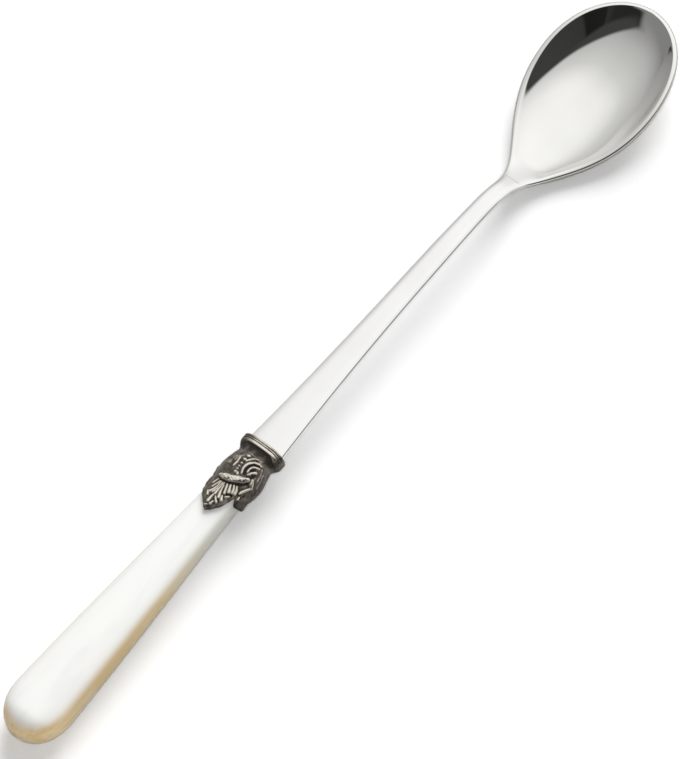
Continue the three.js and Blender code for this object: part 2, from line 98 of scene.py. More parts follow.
def loftPiece(name, rows, material, node, sharpAngle=40, inward=False):
    # skin over closed rows of points in millimetres, with a pole at either end; inward rows are turned out
    rows = np.array(rows, float)
    rowCount, around = rows.shape[:2]
    ends = np.array([rows[0].mean(0), rows[-1].mean(0)])
    points = np.concatenate([rows.reshape(-1, 3), ends])
    points[:, 2] = np.maximum(points[:, 2], 0)  # the resting flats lie on the table
    points = points * mm + np.array([buttX, 0, 0])
    faces = []
    for r in range(rowCount - 1):
        for k in range(around):
            a, b = r * around + k, r * around + (k + 1) % around
            faces.append((a, b, b + around, a + around))
    first, last = rowCount * around, rowCount * around + 1
    for k in range(around):
        faces.append((first, (k + 1) % around, k))
        faces.append((last, (rowCount - 1) * around + k, (rowCount - 1) * around + (k + 1) % around))
    mesh = bpy.data.meshes.new(name)
    mesh.from_pydata(points.tolist(), [], faces)
    if inward:
        mesh.flip_normals()
    mesh.validate()
    piece = addObject(name, mesh)
    mesh.shade_smooth()
    mesh.set_sharp_from_angle(angle=math.radians(sharpAngle))
    mesh.materials.append(material)
    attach(piece, "root")
    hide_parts(node)
    print(f"{name}: {len(points)} points, {len(faces)} faces")
    return piece


# nodes
def startMaterial(name):
    material = bpy.data.materials.new(name)
    material.use_nodes = True
    tree = material.node_tree
    position = addNode(tree, "ShaderNodeTexCoord").outputs["Object"]
    return material, tree, tree.nodes["Principled BSDF"], position


def fill(tree, node, inputs):
    # each input takes a link from another socket, or a plain value
    for key, value in inputs.items():
        if isinstance(value, bpy.types.NodeSocket):
            tree.links.new(value, node.inputs[key])
        else:
            node.inputs[key].default_value = value


def addNode(tree, kind, inputs=None, **settings):
    node = tree.nodes.new(kind)
    for key, value in settings.items():
        setattr(node, key, value)
    fill(tree, node, inputs or {})
    return node


def blendColour(tree, share, low, high, mode="MIX"):
    # sockets 6 and 7 of a Mix node take its colours
    node = addNode(tree, "ShaderNodeMix", {0: share, 6: low, 7: high}, data_type="RGBA", blend_type=mode)
    return node.outputs[2]


def remap(tree, value, low, high, toLow=0.0, toHigh=1.0, style="SMOOTHSTEP"):
    inputs = dict(enumerate((value, low, high, toLow, toHigh)))
    return addNode(tree, "ShaderNodeMapRange", inputs, interpolation_type=style).outputs[0]


def calc(tree, operation, a, b=0.0, c=0.0):
    inputs = dict(enumerate((a, b, c)))
    return addNode(tree, "ShaderNodeMath", inputs, operation=operation).outputs[0]


def alongSpoon(tree, position, low, high, full=1.0):
    # share that grows between two distances from the butt, in millimetres
    x = addNode(tree, "ShaderNodeSeparateXYZ", {"Vector": position}).outputs["X"]
    return remap(tree, x, buttX + low * mm, buttX + high * mm, 0.0, full)


def addBump(tree, height, distance, strength):
    return addNode(tree, "ShaderNodeBump", {
        "Height": height, "Distance": distance, "Strength": strength}).outputs[0]


# marks of use on the finishes that show: hairlines and finger smudges
marksLook = {
    "defaults": (("Hairline Scale", 900.0), ("Smudge Scale", 60.0), ("Stretch", 0.06)),
    "hairlineDetail": 3.0,
    "hairlineRough": 0.7,
    "smudgeDetail": 4.0,
    "smudgeRange": (0.35, 0.7),
}


def makeHandlingMarks():
    group = bpy.data.node_groups.new("handlingMarks", "ShaderNodeTree")
    sockets = group.interface
    sockets.new_socket("Position", in_out="INPUT", socket_type="NodeSocketVector")
    for label, value in marksLook["defaults"]:
        socket = sockets.new_socket(label, in_out="INPUT", socket_type="NodeSocketFloat")
        socket.default_value = value
    for label in ("Smudge", "Hairline"):
        sockets.new_socket(label, in_out="OUTPUT", socket_type="NodeSocketFloat")
    given = addNode(group, "NodeGroupInput").outputs
    stretch = addNode(group, "ShaderNodeCombineXYZ", {"X": given["Stretch"], "Y": 1.0, "Z": 1.0}).outputs[0]
    drawn = addNode(group, "ShaderNodeVectorMath", {0: given["Position"], 1: stretch}, operation="MULTIPLY")
    hairline = addNode(group, "ShaderNodeTexNoise", {
        "Vector": drawn.outputs[0],
        "Scale": given["Hairline Scale"],
        "Detail": marksLook["hairlineDetail"],
        "Roughness": marksLook["hairlineRough"],
    })
    smudge = addNode(group, "ShaderNodeTexNoise", {
        "Vector": given["Position"],
        "Scale": given["Smudge Scale"],
        "Detail": marksLook["smudgeDetail"],
    })
    fill(group, addNode(group, "NodeGroupOutput"), {
        "Smudge": remap(group, smudge.outputs[0], *marksLook["smudgeRange"]),
        "Hairline": hairline.outputs[0],
    })
    return group


handlingMarks = makeHandlingMarks()


def placeMarks(tree, position, hairlineScale, smudgeScale, stretch):
    node = addNode(tree, "ShaderNodeGroup", {
        "Position": position,
        "Hairline Scale": hairlineScale,
        "Smudge Scale": smudgeScale,
        "Stretch": stretch,
    }, node_tree=handlingMarks)
    return node.outputs["Smudge"], node.outputs["Hairline"]


# polished steel
steelLook = {
    "bright": (0.75, 0.745, 0.732, 1),
    "shaded": (0.722, 0.717, 0.705, 1),
    "marks": (1500.0, 70.0, 0.05),  # hairline scale, smudge scale, stretch
    "rough": (0.035, 0.075),  # clean, smudged
    "bump": (0.00002, 0.02),  # depth in metres, strength
    # the bowl is tinted a little darker and greyer than the stem, which dims its reflections
    "bowlTint": (0.957, 0.957, 0.944, 1),
    "bowlRange": (158.0, 172.0),  # millimetres from the butt
}


def makePolishedSteel():
    look = steelLook
    material, tree, shader, position = startMaterial("polishedSteel")
    smudge, hairline = placeMarks(tree, position, *look["marks"])
    colour = blendColour(tree, smudge, look["bright"], look["shaded"])
    bowl = alongSpoon(tree, position, *look["bowlRange"])
    colour = blendColour(tree, bowl, colour, look["bowlTint"], "MULTIPLY")
    fill(tree, shader, {
        "Base Color": colour,
        "Roughness": remap(tree, smudge, 0, 1, *look["rough"], "LINEAR"),
        "Metallic": 1.0,
        "Normal": addBump(tree, hairline, *look["bump"]),
    })
    return material


# antiqued white metal of the ferrule
pewterLook = {
    "rubbed": (0.66, 0.62, 0.535, 1),
    "middle": (0.145, 0.124, 0.102, 1),
    "recess": (0.028, 0.023, 0.019, 1),
    "marks": (2200.0, 620.0, 0.8),
    "blotch": 0.26,
    "grain": 0.5,
    # wear over which one tone gives way to the next
    "middleRange": (0.08, 0.5),
    "rubbedRange": (0.42, 0.95),
    # wear, then the value in the recesses and on the rubbed relief
    "rough": (0.1, 0.9, 0.5, 0.26),
    "metal": (0.35, 0.9, 0.55, 1.0),
    "bump": (0.00006, 0.25),
}


def makeAntiquedPewter():
    look = pewterLook
    material, tree, shader, position = startMaterial("antiquedPewter")
    smudge, hairline = placeMarks(tree, position, *look["marks"])
    # the attribute holds rubbed wear together with painted shade and a painted highlight
    wearAndShade = addNode(tree, "ShaderNodeAttribute", attribute_name="wearAndShade").outputs["Fac"]
    grain = calc(tree, "MULTIPLY", calc(tree, "SUBTRACT", hairline, 0.5), look["grain"])
    blotch = calc(tree, "MULTIPLY", calc(tree, "SUBTRACT", smudge, 0.5), look["blotch"])
    wornAndShaded = calc(tree, "ADD", wearAndShade, calc(tree, "ADD", grain, blotch))
    lower = blendColour(tree, remap(tree, wornAndShaded, *look["middleRange"]), look["recess"], look["middle"])
    fill(tree, shader, {
        "Base Color": blendColour(tree, remap(tree, wornAndShaded, *look["rubbedRange"]), lower, look["rubbed"]),
        "Roughness": remap(tree, wornAndShaded, *look["rough"]),
        "Metallic": remap(tree, wornAndShaded, *look["metal"]),
        "Normal": addBump(tree, hairline, *look["bump"]),
    })
    return material


# pearl resin of the handle
pearlLook = {
    "face": (0.78, 0.782, 0.758, 1),
    "cloud": (0.735, 0.742, 0.724, 1),
    "blush": (0.795, 0.765, 0.735, 1),
    "amber": (0.70, 0.50, 0.235, 1),
    "honey": (0.77, 0.60, 0.35, 1),
    "olive": (0.63, 0.52, 0.31, 1),
    "pale": (0.68, 0.67, 0.61, 1),
    "sideShade": (0.80, 0.83, 0.89, 1),
    "marks": (700.0, 90.0, 0.08),
    # figure of the resin, drawn out along the handle
    "cloudDraw": (0.22, 1.0, 1.0),
    "cloudNoise": {"Scale": 210.0, "Detail": 3.0, "Distortion": 0.8},
    "cloudRange": (0.4, 0.68),
    "blushNoise": {"Scale": 95.0, "Detail": 2.0, "Distortion": 1.2},
    "blushRange": (0.5, 0.75, 0.0, 0.6),
    "streakDraw": (0.07, 1.0, 1.0),
    "streakNoise": {"Scale": 620.0, "Detail": 3.0, "Roughness": 0.6},
    "honeyRange": (0.38, 0.62),
    "oliveRange": (0.56, 0.72, 0.0, 0.7),
    # millimetres from the butt, and the share reached
    "paleRange": (38.0, 62.0, 0.85),
    # painted shade: the amber side darkens and cools away from the butt
    "sideShadeRange": (3.0, 14.0, 1.0),
    # upward share of the surface normal, unsettled by the cloud, where amber starts and is full
    "sideRange": (1.0, 0.55),
    "cloudEdge": 0.06,
    # the amber layer is the resin's own colour; that it comes out fully on the near edge and round the butt,
    # and only thinly on the far edge, is painted shade
    "buttShadePull": 1.3,
    "amberShadeRange": (-0.25, 0.3, 1.0, 0.1),
    "rough": (0.16, 0.27),
    "coat": 0.5,
    "coatRough": 0.06,
    "bump": (0.00003, 0.08),
}


def makePearlResin():
    look = pearlLook
    material, tree, shader, position = startMaterial("pearlResin")
    smudge, hairline = placeMarks(tree, position, *look["marks"])

    def figure(draw, noise):
        drawn = addNode(tree, "ShaderNodeMapping", {"Vector": position, "Scale": draw}).outputs[0]
        return addNode(tree, "ShaderNodeTexNoise", {"Vector": drawn, **noise}).outputs[0]

    cloud = figure(look["cloudDraw"], look["cloudNoise"])
    blush = figure(look["cloudDraw"], look["blushNoise"])
    streaks = figure(look["streakDraw"], look["streakNoise"])
    face = blendColour(tree, remap(tree, cloud, *look["cloudRange"]), look["face"], look["cloud"])
    face = blendColour(tree, remap(tree, blush, *look["blushRange"]), face, look["blush"])
    side = blendColour(tree, remap(tree, streaks, *look["honeyRange"]), look["amber"], look["honey"])
    side = blendColour(tree, remap(tree, streaks, *look["oliveRange"]), side, look["olive"])
    side = blendColour(tree, alongSpoon(tree, position, *look["paleRange"]), side, look["pale"])
    # painted shade: the amber side is darkened and cooled beyond the butt
    sideShade = alongSpoon(tree, position, *look["sideShadeRange"])
    side = blendColour(tree, sideShade, side, look["sideShade"], "MULTIPLY")
    normal = addNode(tree, "ShaderNodeTexCoord").outputs["Normal"]
    facing = addNode(tree, "ShaderNodeSeparateXYZ", {"Vector": normal}).outputs
    unsettled = calc(tree, "MULTIPLY", cloud, look["cloudEdge"])
    upward = calc(tree, "ADD", calc(tree, "ABSOLUTE", facing["Z"]), unsettled)
    # painted shade: amber weighted towards the near side and the butt
    across = calc(tree, "ADD", facing["Y"], calc(tree, "MULTIPLY", facing["X"], look["buttShadePull"]))
    turned = remap(tree, upward, *look["sideRange"])
    turned = calc(tree, "MULTIPLY", turned, remap(tree, across, *look["amberShadeRange"]))
    fill(tree, shader, {
        "Base Color": blendColour(tree, turned, face, side),
        "Roughness": remap(tree, smudge, 0, 1, *look["rough"], "LINEAR"),
        "Coat Weight": look["coat"],
        "Coat Roughness": look["coatRough"],
        "Normal": addBump(tree, hairline, *look["bump"]),
    })
    return material


# cement, hidden round the tang
cementLook = {
    "dark": (0.50, 0.46, 0.36, 1),
    "light": (0.66, 0.61, 0.50, 1),
    "grainNoise": {"Scale": 1800.0, "Detail": 5.0},
    "rough": (0.3, 0.7, 0.7, 0.9),
    "bump": (0.0001, 0.4),
}


def makeCement():
    look = cementLook
    material, tree, shader, position = startMaterial("cement")
    grain = addNode(tree, "ShaderNodeTexNoise", {"Vector": position, **look["grainNoise"]}).outputs[0]
    fill(tree, shader, {
        "Base Color": blendColour(tree, grain, look["dark"], look["light"]),
        "Roughness": remap(tree, grain, *look["rough"]),
        "Normal": addBump(tree, grain, *look["bump"]),
    })
    return material


polishedSteel = makePolishedSteel()
antiquedPewter = makeAntiquedPewter()
pearlResin = makePearlResin()
print("materials made")

# handle: tapered grip of rounded section with a bull-nosed butt, pitched up towards the ferrule
pearlHandle = {
    "length": 74.6,
    "buttWidth": 15.1,
    "buttThickness": 9.3,
    "endWidth": 6.8,
    "endThickness": 5.2,
    "taperPower": 1.35,
    "planRound": 9.5,
    "sideRound": 5.0,
    "sectionPower": 2.5,
    "pitch": math.radians(1.95),
    "flatDepth": 0.15,
    "socketWidth": 4.6,
    "socketHeight": 3.4,
    "socketStart": 38.4,
    "poleTurn": 0.02,  # first row stands a little off the butt's pole
    "poleGap": 0.01,
    "around": 112,
    "buttRows": 40,
    "bodyRows": 60,
    "axisSteps": 600,
}


def gripHalf(x):
    # half width and half thickness before the butt is rounded
    h = pearlHandle
    t = np.clip(x / h["length"], 0, 1) ** h["taperPower"]
    return mix(h["buttWidth"], h["endWidth"], t) / 2, mix(h["buttThickness"], h["endThickness"], t) / 2


def gripSection(x):
    wide, high = gripHalf(x)
    plan = 1 - np.clip(1 - x / pearlHandle["planRound"], 0, 1) ** 2
    side = 1 - np.clip(1 - x / pearlHandle["sideRound"], 0, 1) ** 2
    return wide * np.sqrt(plan), high * np.sqrt(side)


def gripAxisHeight():
    # the butt sinks by the depth of its resting flat
    x = np.linspace(0, pearlHandle["length"], pearlHandle["axisSteps"])
    under = x * math.sin(pearlHandle["pitch"]) - gripSection(x)[1] * math.cos(pearlHandle["pitch"])
    return -under.min() - pearlHandle["flatDepth"]


axisHeight = gripAxisHeight()


def fromGrip(points):
    # grip axis coordinates to the spoon's own
    p = np.asarray(points, float)
    c, s = math.cos(pearlHandle["pitch"]), math.sin(pearlHandle["pitch"])
    x = p[..., 0] * c - p[..., 2] * s
    z = p[..., 0] * s + p[..., 2] * c + axisHeight
    return np.stack([x, p[..., 1], z], -1)


def roundedSection(x, wide, high, angle):
    power = 2 / pearlHandle["sectionPower"]
    c, s = np.cos(angle), np.sin(angle)
    y = wide * np.sign(c) * np.abs(c) ** power
    z = high * np.sign(s) * np.abs(s) ** power
    return np.stack([x + 0 * y, y, z], -1)


def evenAngles(count, wide, high):
    # angles that space the points of a section evenly, the same in each quarter
    fine = np.linspace(0, math.pi / 2, fineSteps)
    points = roundedSection(0, wide, high, fine)
    run = np.concatenate([[0], np.cumsum(np.linalg.norm(np.diff(points, axis=0), axis=1))])
    quarter = np.interp(np.linspace(0, run[-1], count // 4 + 1), run, fine)
    half = np.concatenate([quarter[:-1], math.pi - quarter[:0:-1]])
    return np.concatenate([half, half + math.pi])


def boxSection(x, width, height, angle):
    # rectangle with as many points as the round rows
    c, s = np.cos(angle), np.sin(angle)
    reach = np.minimum(width / 2 / np.maximum(np.abs(c), tiny), height / 2 / np.maximum(np.abs(s), tiny))
    return np.stack([x + 0 * c, reach * c, reach * s], -1)


def makeHandle():
    h = pearlHandle
    angle = evenAngles(h["around"], h["buttWidth"], h["buttThickness"])
    turn = np.linspace(h["poleTurn"], math.pi / 2, h["buttRows"])
    stations = list(h["poleGap"] + h["planRound"] * (1 - np.cos(turn)))
    stations += list(np.linspace(h["planRound"], h["length"], h["bodyRows"])[1:])
    rows = [roundedSection(x, *gripSection(x), angle) for x in stations]
    rows.append(boxSection(h["length"], h["socketWidth"], h["socketHeight"], angle))
    rows.append(boxSection(h["socketStart"], h["socketWidth"], h["socketHeight"], angle))
    loftPiece("handleGrip", fromGrip(rows), pearlResin, "handle")


makeHandle()

# blank: bowl, neck, stem and hidden tang in one polished piece
steelBlank = {
    "collarFace": 80.6,
    "seatDepth": 1.6,
    "neck": 158.0,
    "widest": 190.5,
    "tip": 209.999,  # inside the CAD's box
    "collarWidth": 8.3,
    "neckWidth": 4.4,
    "taperPower": 2.6,
    "thickness": 2.1,
    "crestRise": 1.0,
    "crestFromCollar": 54.0,
    "bowlWidth": 30.0,
    "neckEase": 10.0,
    "shoulderEase": 17.0,
    "neckTop": 7.0,
    "throatTop": 3.05,
    "throatFromNeck": 12.0,
    "midTop": 7.1,
    "tipTop": 9.1,
    "rimThickness": 1.4,
    "floorThickness": 1.2,
    "thinnest": 0.8,
    "floorLow": 1.05,
    "lowFromWidest": 7.0,
    "sectionPower": 2.7,
    "throatPower": 2.2,
    "throatEnd": 180.0,
    "stemRound": 0.62,
    "stemCrown": 0.3,
    "crownPower": 4,
    "edgeTilt": math.radians(22),
    "sideDraft": 0.5,
    "stemSpread": 0.28,
    "lipRound": 0.6,
    "lipLand": 0.32,
    "lipEase": 0.055,
    "crease": 161.2,
    "creaseSlope": 0.56,
    "creaseStep": 0.1,
    "tangWidth": 2.4,
    "tangThickness": 1.2,
    "tangStart": 41.0,
    "seatRun": 12.0,  # the stem's line runs on behind the collar
    "bellyLead": 2.0,
    # shares of the way along and up to the next height
    "stemRise": (0.5, 0.7),
    "neckDrop": (0.65, 0.2),
    "throatDrop": (0.5, 0.8),
    "shoulderRise": (0.5, 0.43),
    "endRise": (0.5, 0.8),
    "floorAtWidest": (0.0, 0.05),
    "floorToTip": ((0.4, 0.24), (0.72, 0.57)),
    "hollowFlat": (0.5, 0.01),
    "bellyThroat": (0.0, 0.42),
    "bellyFoot": (0.55, 0.08),
    "bellyStart": 0.35,
    "edgeThinning": 0.5,
    "floorThinning": 0.75,
    # run from the crease, and how much of it falls at the crease's slope
    "creaseFall": ((0.0, 0.0), (1.6, 1.6), (3.2, 3.2), (4.8, 4.8), (6.4, 6.15)),
    # run from the crease or the throat, and share of the depth left there
    "hollowFoot": (8.4, 0.2),
    "hollowBend": (2.0, 0.06),
    "stepIn": 0.4,  # the crease's step comes and goes over these runs
    "stepOut": 2.0,
    "spreadRun": 25.0,
    # limits of the edge's radius
    "edgeSpare": 0.02,
    "leastHalf": 0.6,
    "tipSpare": 0.1,
    "across": 72,
    "edgeSteps": 8,
    "stemRows": 90,
    "shoulderRows": 150,
    "endRows": 90,
}


def between(a, b, share):
    # point part of the way along and part of the way up from a to b
    return mix(a[0], b[0], share[0]), mix(a[1], b[1], share[1])


def blankHeights():
    # curves along the blank: top, hollow, thickness of the edge, underside
    b = steelBlank
    slope = math.tan(pearlHandle["pitch"])
    collar = (b["collarFace"], axisHeight + b["collarFace"] * slope + b["thickness"] / 2)
    crest = (collar[0] + b["crestFromCollar"], collar[1] + b["crestRise"])
    neck = (b["neck"], b["neckTop"])
    throat = (b["neck"] + b["throatFromNeck"], b["throatTop"])
    widest = (b["widest"], b["midTop"])
    tip = (b["tip"], b["tipTop"])
    rim = fairCurve([
        (collar[0] - b["seatRun"], collar[1] - b["seatRun"] * slope),
        collar,
        between(collar, crest, b["stemRise"]),
        crest,
        between(crest, neck, b["neckDrop"]),
        neck,
        between(neck, throat, b["throatDrop"]),
        throat,
        between(throat, widest, b["shoulderRise"]),
        widest,
        between(widest, tip, b["endRise"]),
        tip,
    ])
    deepest = (widest[0] - b["lowFromWidest"], b["floorLow"])
    underThroat = (throat[0], deepest[1])
    underWidest = (widest[0], deepest[1])
    overDeepest = (deepest[0], throat[1])
    tail = [deepest, between(underWidest, widest, b["floorAtWidest"])]
    tail += [between(underWidest, tip, share) for share in b["floorToTip"]]
    tail.append(tip)
    crease = b["crease"]
    creaseTop = float(rim(crease))
    # the hollow breaks off the stem in a crease and falls steeply at first
    steep = [(crease + run, creaseTop - fall * b["creaseSlope"]) for run, fall in b["creaseFall"]]
    footRun, footShare = b["hollowFoot"]
    bendRun, bendShare = b["hollowBend"]
    floor = fairCurve(steep + [
        (crease + footRun, mix(deepest[1], throat[1], footShare)),
        (throat[0] + bendRun, mix(deepest[1], throat[1], bendShare)),
        between(underThroat, overDeepest, b["hollowFlat"]),
    ] + tail)
    start = mix(neck[0], throat[0], b["bellyStart"])
    lead = start - b["bellyLead"]
    belly = fairCurve([
        (lead, float(rim(lead))),
        (start, float(rim(start))),
        between(underThroat, throat, b["bellyThroat"]),
        between(underThroat, overDeepest, b["bellyFoot"]),
    ] + tail)
    edge = fairCurve([
        (neck[0], b["thickness"]),
        (throat[0], mix(b["thickness"], b["rimThickness"], b["edgeThinning"])),
        (widest[0], b["rimThickness"]),
        (tip[0], b["rimThickness"]),
    ])
    middle = fairCurve([
        (neck[0], b["thickness"]),
        (throat[0], mix(b["thickness"], b["floorThickness"], b["floorThinning"])),
        (deepest[0], b["floorThickness"]),
        (tip[0], b["floorThickness"]),
    ])

    def hollow(x):
        # a low step marks the crease
        step = ease(crease, crease + b["stepIn"], x) * ease(throat[0], crease + b["stepOut"], x)
        return floor(x) - b["creaseStep"] * step

    def under(x):
        if x < start:
            return rim(x) - b["thickness"]
        return min(belly(x) - middle(x), floor(x) - b["thinnest"])

    return rim, hollow, edge, under


def blankOutline():
    # x and half width from the stem's seat to the tip
    b = steelBlank
    stem = np.linspace(b["collarFace"] - b["seatDepth"], b["neck"], b["stemRows"])
    share = np.clip((b["neck"] - stem) / (b["neck"] - b["collarFace"]), 0, 1) ** b["taperPower"]
    spread = b["stemSpread"] * ease(b["neck"], b["neck"] - b["spreadRun"], stem)
    points = list(zip(stem, mix(b["neckWidth"], b["collarWidth"], share) / 2 + spread))
    t = np.linspace(0, 1, b["shoulderRows"])[1:]
    inner, outer = b["neckWidth"] / 2, b["bowlWidth"] / 2
    pull = [b["neck"], b["neck"] + b["neckEase"], b["widest"] - b["shoulderEase"], b["widest"]]
    weights = [(1 - t) ** 3, 3 * (1 - t) ** 2 * t, 3 * (1 - t) * t * t, t ** 3]
    x = sum(w * p for w, p in zip(weights, pull))
    y = sum(w * p for w, p in zip(weights, [inner, inner, outer, outer]))
    points += list(zip(x, y))
    turn = np.linspace(0, math.pi / 2, b["endRows"])[1:]
    points += list(zip(mix(b["widest"], b["tip"], np.sin(turn)), outer * np.cos(turn)))
    return np.array(points)


def blankLoop(place, inward, top, floor, edge, under, bowl):
    # closed row through a point of the outline; bowl is 0 on the stem and 1 on the bowl
    b = steelBlank
    stem = 1 - bowl
    r = mix(b["stemRound"], b["lipRound"], bowl)
    r = min(r, edge / 2 - b["edgeSpare"], max(place[1], b["leastHalf"]) - b["tipSpare"])
    tilt = b["edgeTilt"] * stem
    inner = place + inward * (r * (1 - math.sin(tilt)) + b["lipLand"] * bowl)
    share = np.sin(np.linspace(-1, 1, b["across"]) * math.pi / 2)
    power = mix(b["throatPower"], b["sectionPower"], float(ease(b["crease"], b["throatEnd"], inner[0])))
    fall = 1 - np.abs(share) ** power
    fall = (np.hypot(fall, b["lipEase"]) - b["lipEase"]) / (math.hypot(1, b["lipEase"]) - b["lipEase"])
    crown = b["stemCrown"] * stem * (1 - np.abs(share) ** b["crownPower"])
    side = np.maximum(inner[1], 0) * share
    height = top - (top - floor) * fall + crown - b["stemCrown"] * stem
    loop = [(inner[0], y, z) for y, z in zip(side, height)]
    edgeTop = top - b["stemCrown"] * stem
    curl = []
    for a in np.linspace(tilt, math.pi / 2, b["edgeSteps"] + 1):
        drop = r * (math.cos(tilt) - math.cos(a))
        curl.append((place + inward * r * (1 - math.sin(a)), edgeTop - drop))
    draft = b["sideDraft"] * stem
    curl += [(p + inward * draft, edgeTop + top - edge - z) for p, z in reversed(curl)]
    loop += [(p[0], max(p[1], 0), z) for p, z in curl]
    low = top - edge
    sag = 1 - np.abs(share[::-1]) ** b["sectionPower"]
    side = np.maximum(inner[1] - draft, 0) * share
    loop += [(inner[0], y, low - (low - under) * w) for y, w in zip(side[::-1], sag)]
    loop += [(p[0], -max(p[1], 0), z) for p, z in reversed(curl)]
    return loop


def makeBlank():
    b = steelBlank
    rim, floor, edge, under = blankHeights()
    outline = blankOutline()
    rows = []
    for x in (b["tangStart"], b["collarFace"] - b["seatDepth"]):
        top = axisHeight + x * math.tan(pearlHandle["pitch"]) + b["tangThickness"] / 2
        place = np.array([x, b["tangWidth"] / 2])
        low = top - b["tangThickness"]
        rows.append(blankLoop(place, np.array([0, -1.0]), top, top, b["tangThickness"], low, 0))
    run = np.gradient(outline, axis=0)
    run /= np.linalg.norm(run, axis=1)[:, None]
    inward = np.stack([run[:, 1], -run[:, 0]], 1)
    inward[-1] = -1, 0  # at the tip
    for place, side in zip(outline, inward):
        x = place[0]
        top = float(rim(x))
        inside = min(float(floor(x)), top) if x > b["crease"] else top
        bowl = float(ease(b["neck"], b["neck"] + b["throatFromNeck"], x))
        rows.append(blankLoop(place, side, top, inside, float(edge(x)), float(under(x)), bowl))
    loftPiece("spoonBlank", rows, polishedSteel, "spoon_blank", inward=True)


makeBlank()

